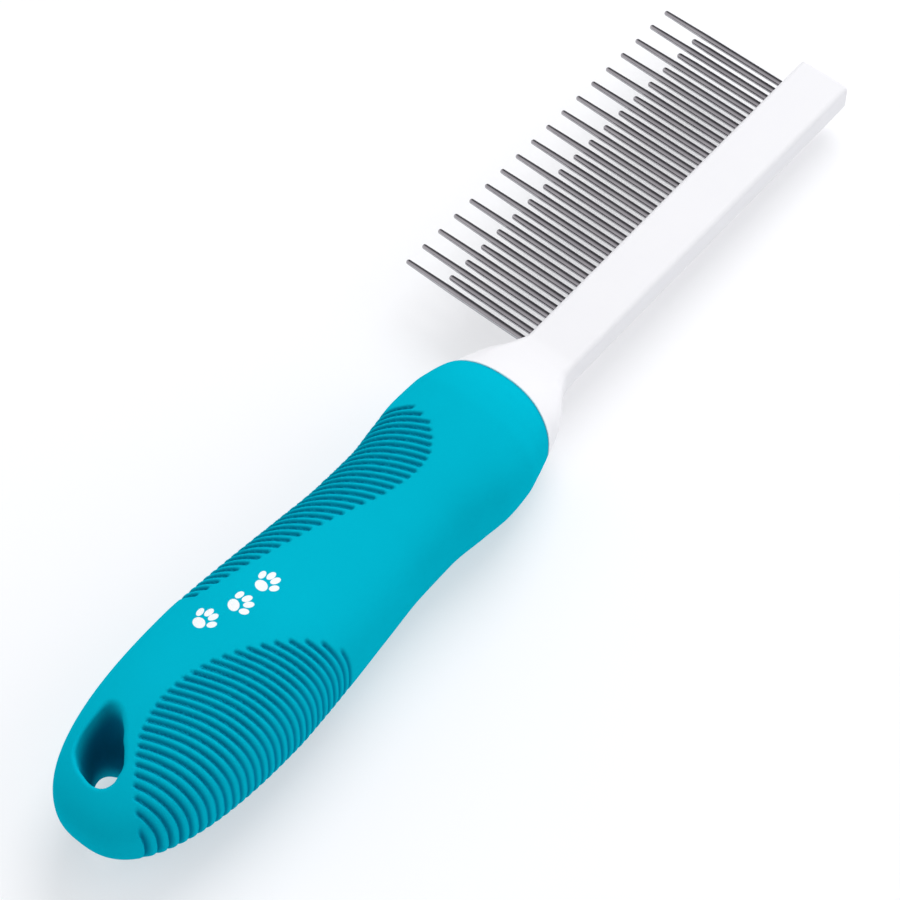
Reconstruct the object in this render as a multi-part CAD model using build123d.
from build123d import *
import math
import os

# Steel grooming comb: a white moulded core (spine, neck and the insert inside
# the handle) with 35 round steel pins in blind holes and a soft teal
# over-moulded grip with a slanted hang hole.
#
# Millimetres: +X runs from the handle to the tip of the comb, +Y is the way
# the pins point, +Z is up off the flat face. The shapes are drawn on the
# comb's centre line, with X = 0 where the white neck leaves the soft grip.
# Export moves the origin to the centre of the hang hole, mid-thickness.

# ---- pins: long and short alternate, with a long one at both ends ---------
PIN_PITCH = 2.25            # between neighbouring pins
N_LONG = 18
N_SHORT = N_LONG - 1
FIRST_PIN_X = 13.6          # axis of the first long pin
PIN_D = 1.35                # shank diameter
PIN_SET = 7.0               # depth of a pin inside the spine
GROOVE_DEPTH = 0.12         # retention groove around the buried end
GROOVE_LEN = 0.6            # at the shank surface; its floor is half as long
GROOVE_POS = 4.6            # groove centre, in from the spine's edge

# kind, count, first axis X, length outside the spine, diameter behind the
# rounded tip, distance from the start of the taper to the tip
PIN_KINDS = [
    ("long", N_LONG, FIRST_PIN_X, 28.4, 1.00, 10.0),
    ("short", N_SHORT, FIRST_PIN_X + PIN_PITCH, 20.1, 1.15, 4.0),
]

# ---- spine ----------------------------------------------------------------
SPINE_W = 10.7              # across Y
SPINE_T = 6.1               # across Z
SPINE_START = 14.0          # X where the neck has become the plain bar
SPINE_END = 95.6            # X of the comb's far end
SPINE_EDGE_R = 1.0          # long edges
SPINE_END_R = 0.6           # rounding of the far end

# ---- neck: X, Y min, Y max, half thickness, corner radius -----------------
NECK = [
    (0.0, -11.6, 11.4, 8.7, 6.4),
    (1.5, -11.25, 11.3, 8.0, 5.7),
    (3.5, -10.2, 10.6, 6.9, 4.6),
    (6.0, -8.5, 9.5, 5.5, 3.4),
    (8.5, -6.7, 7.9, 4.3, 2.3),
    (11.0, -5.6, 6.5, 3.45, 1.5),
    (SPINE_START, -SPINE_W / 2, SPINE_W / 2, SPINE_T / 2, SPINE_EDGE_R),
]

# ---- handle ---------------------------------------------------------------
SECTION_POWER = 2.6         # superellipse exponent of the cross-section
SECTION_POINTS = 28
BELLY_W = 15.65             # half width at the widest
BELLY_B = 13.2              # half thickness at the thickest

# Rounded butt: each half size falls from full at its start X to 0 at BUTT_X.
BUTT_X = -110.2
BUTT_W_START, BUTT_W_POWER = -72.0, 2.55
BUTT_B_START, BUTT_B_POWER = -68.0, 2.4
BUTT_FRONT = -74.0          # X of the butt's last section
# Section places from 0 at the end to 1 at BUTT_FRONT, before cosine spacing
BUTT_STEPS = (0.012, 0.05, 0.12, 0.22, 0.34, 0.48, 0.64, 0.82, 1.0)

# From the belly to the neck: X, half width, half thickness
HANDLE = [
    (-66.4, 15.35, 13.05),
    (-56.4, 14.55, 12.45),
    (-46.4, 13.55, 11.85),
    (-36.4, 12.65, 11.45),
    (-28.4, 12.55, 11.3),
    (-20.4, 13.45, 11.4),
    (-14.4, 14.10, 11.4),
    (-9.0, 13.95, 11.3),
    (-5.5, 13.35, 10.75),
    (-2.5, 12.60, 9.85),
    (0.0, 11.60, 8.70),
]

# Soft grip's wall over the insert
SKIN_W = 3.0                # on the sides
SKIN_B = 3.2                # on the faces
SKIN_BUTT = 4.0             # at the butt
INSERT_FRONT = 1.2          # X where the insert ends, inside the neck
INSERT_FRONT_STEP = 0.5     # drop in half size from X = 0 to that end

# ---- hang hole: a slanted oval through the handle near the butt -----------
HOLE_X = -99.1
HOLE_Y = 3.2
HOLE_LEN = 11.0
HOLE_WID = 6.8
HOLE_ANGLE = 39.5           # long axis, degrees from +X towards +Y
HOLE_LINING = 2.2           # soft lining between the hole and the core
HOLE_CUT_HALF = 30          # the cutter reaches this far each way along Z
RIM_R = 1.8                 # rounding of the rim
RIM_MAX_RISE = 4            # a rim edge spans less than this in Z


def handle_section(x, half_w, half_b):
    """Superellipse face across X, half_w along Y and half_b along Z."""
    points = []
    for i in range(SECTION_POINTS):
        angle = 2 * math.pi * (i + 0.5) / SECTION_POINTS
        c, s = math.cos(angle), math.sin(angle)
        y = half_w * math.copysign(abs(c) ** (2 / SECTION_POWER), c)
        z = half_b * math.copysign(abs(s) ** (2 / SECTION_POWER), s)
        points.append((x, y, z))
    return Face(Wire([Spline(*points, periodic=True)]))


def butt_scale(x, start, end, power):
    """Fraction of full size at x in the rounded butt, 1 from start onwards."""
    if x >= start:
        return 1.0
    return (1 - ((start - x) / (start - end)) ** power) ** (1 / power)


def handle_body(inset_w=0.0, inset_b=0.0, inset_butt=0.0, front=None):
    """Smooth loft from the butt to X = 0, or on to front in a smaller section."""
    sections = []
    end = BUTT_X + inset_butt
    for step in BUTT_STEPS:
        x = end + (BUTT_FRONT - end) * (1 - math.cos(step * math.pi / 2))
        half_w = (BELLY_W - inset_w) * butt_scale(x, BUTT_W_START, end, BUTT_W_POWER)
        half_b = (BELLY_B - inset_b) * butt_scale(x, BUTT_B_START, end, BUTT_B_POWER)
        sections.append(handle_section(x, half_w, half_b))
    for x, half_w, half_b in HANDLE:
        sections.append(handle_section(x, half_w - inset_w, half_b - inset_b))
    if front is not None:
        _, half_w, half_b = HANDLE[-1]
        sections.append(
            handle_section(
                front,
                half_w - inset_w - INSERT_FRONT_STEP,
                half_b - inset_b - INSERT_FRONT_STEP,
            )
        )
    return loft(sections)


def hole_cutter(lining=0.0):
    """Oval prism along Z at the hang hole, larger all round by lining."""
    oval = SlotOverall(HOLE_LEN + 2 * lining, HOLE_WID + 2 * lining)
    place = Plane.XY.offset(-HOLE_CUT_HALF) * Pos(HOLE_X, HOLE_Y) * Rot(0, 0, HOLE_ANGLE)
    return extrude(place * oval, amount=2 * HOLE_CUT_HALF)


def make_pin(x, length_out, tip_d, taper):
    """Round pin: buried root with its groove, shank, taper, rounded tip."""
    shank_r, tip_r = PIN_D / 2, tip_d / 2
    edge_y = SPINE_W / 2
    root_y = edge_y - PIN_SET
    tip_y = edge_y + length_out
    groove_y = edge_y - GROOVE_POS
    side = Polyline(
        (0, root_y),
        (shank_r, root_y),
        (shank_r, groove_y - GROOVE_LEN / 2),
        (shank_r - GROOVE_DEPTH, groove_y - GROOVE_LEN / 4),
        (shank_r - GROOVE_DEPTH, groove_y + GROOVE_LEN / 4),
        (shank_r, groove_y + GROOVE_LEN / 2),
        (shank_r, tip_y - taper),
        (tip_r, tip_y - tip_r),
    )
    mid = tip_r * math.sqrt(0.5)
    tip = ThreePointArc((tip_r, tip_y - tip_r), (mid, tip_y - tip_r + mid), (0, tip_y))
    centre_line = Line((0, tip_y), (0, root_y))
    profile = make_face([side.edges(), tip.edge(), centre_line.edge()])
    return Pos(x, 0, 0) * revolve(profile, axis=Axis.Y)


def make_pins():
    """All pins by part name, the long ones first."""
    pins = {}
    for kind, count, first_x, length_out, tip_d, taper in PIN_KINDS:
        for i in range(count):
            x = first_x + 2 * i * PIN_PITCH
            pins[f"pin_{kind}_{i + 1:02d}"] = make_pin(x, length_out, tip_d, taper)
    return pins


def make_spine():
    """Plain bar with rounded edges and a rounded far end."""
    section = Plane.YZ.offset(SPINE_START) * RectangleRounded(SPINE_W, SPINE_T, SPINE_EDGE_R)
    spine = extrude(section, amount=SPINE_END - SPINE_START)
    return fillet(spine.edges().group_by(Axis.X)[-1], SPINE_END_R)


def make_neck():
    """Loft from the grip's front down to the spine's section."""
    sections = []
    for x, y_min, y_max, half_b, corner_r in NECK:
        plane = Plane(origin=(x, (y_min + y_max) / 2, 0), x_dir=(0, 1, 0), z_dir=(1, 0, 0))
        sections.append(plane * RectangleRounded(y_max - y_min, 2 * half_b, corner_r))
    return loft(sections)


def make_core(pins):
    """Spine, neck and insert in one piece, with a blind hole for each pin."""
    insert = handle_body(SKIN_W, SKIN_B, SKIN_BUTT, INSERT_FRONT) - hole_cutter(HOLE_LINING)
    core = make_spine() + make_neck() + insert
    for pin in pins:
        core = core - pin
    return core


def on_rim(edge):
    """True for an edge round the hang hole that doesn't run through it."""
    centre = edge.center()
    near = (Vector(HOLE_X, HOLE_Y, centre.Z) - centre).length < HOLE_LEN
    return near and edge.bounding_box().size.Z < RIM_MAX_RISE


def make_grip(core):
    """Soft handle body with a rounded hang hole, hollowed by the core."""
    grip = handle_body() - hole_cutter()
    grip = fillet([edge for edge in grip.edges() if on_rim(edge)], RIM_R)
    return grip - core


pins = make_pins()
core = make_core(pins.values())
parts = {"core": core, "grip": make_grip(core), **pins}

os.makedirs("parts", exist_ok=True)
to_hole = Pos(-HOLE_X, -HOLE_Y, 0)
for name, part in parts.items():
    export_step(to_hole * part, f"parts/{name}.step")
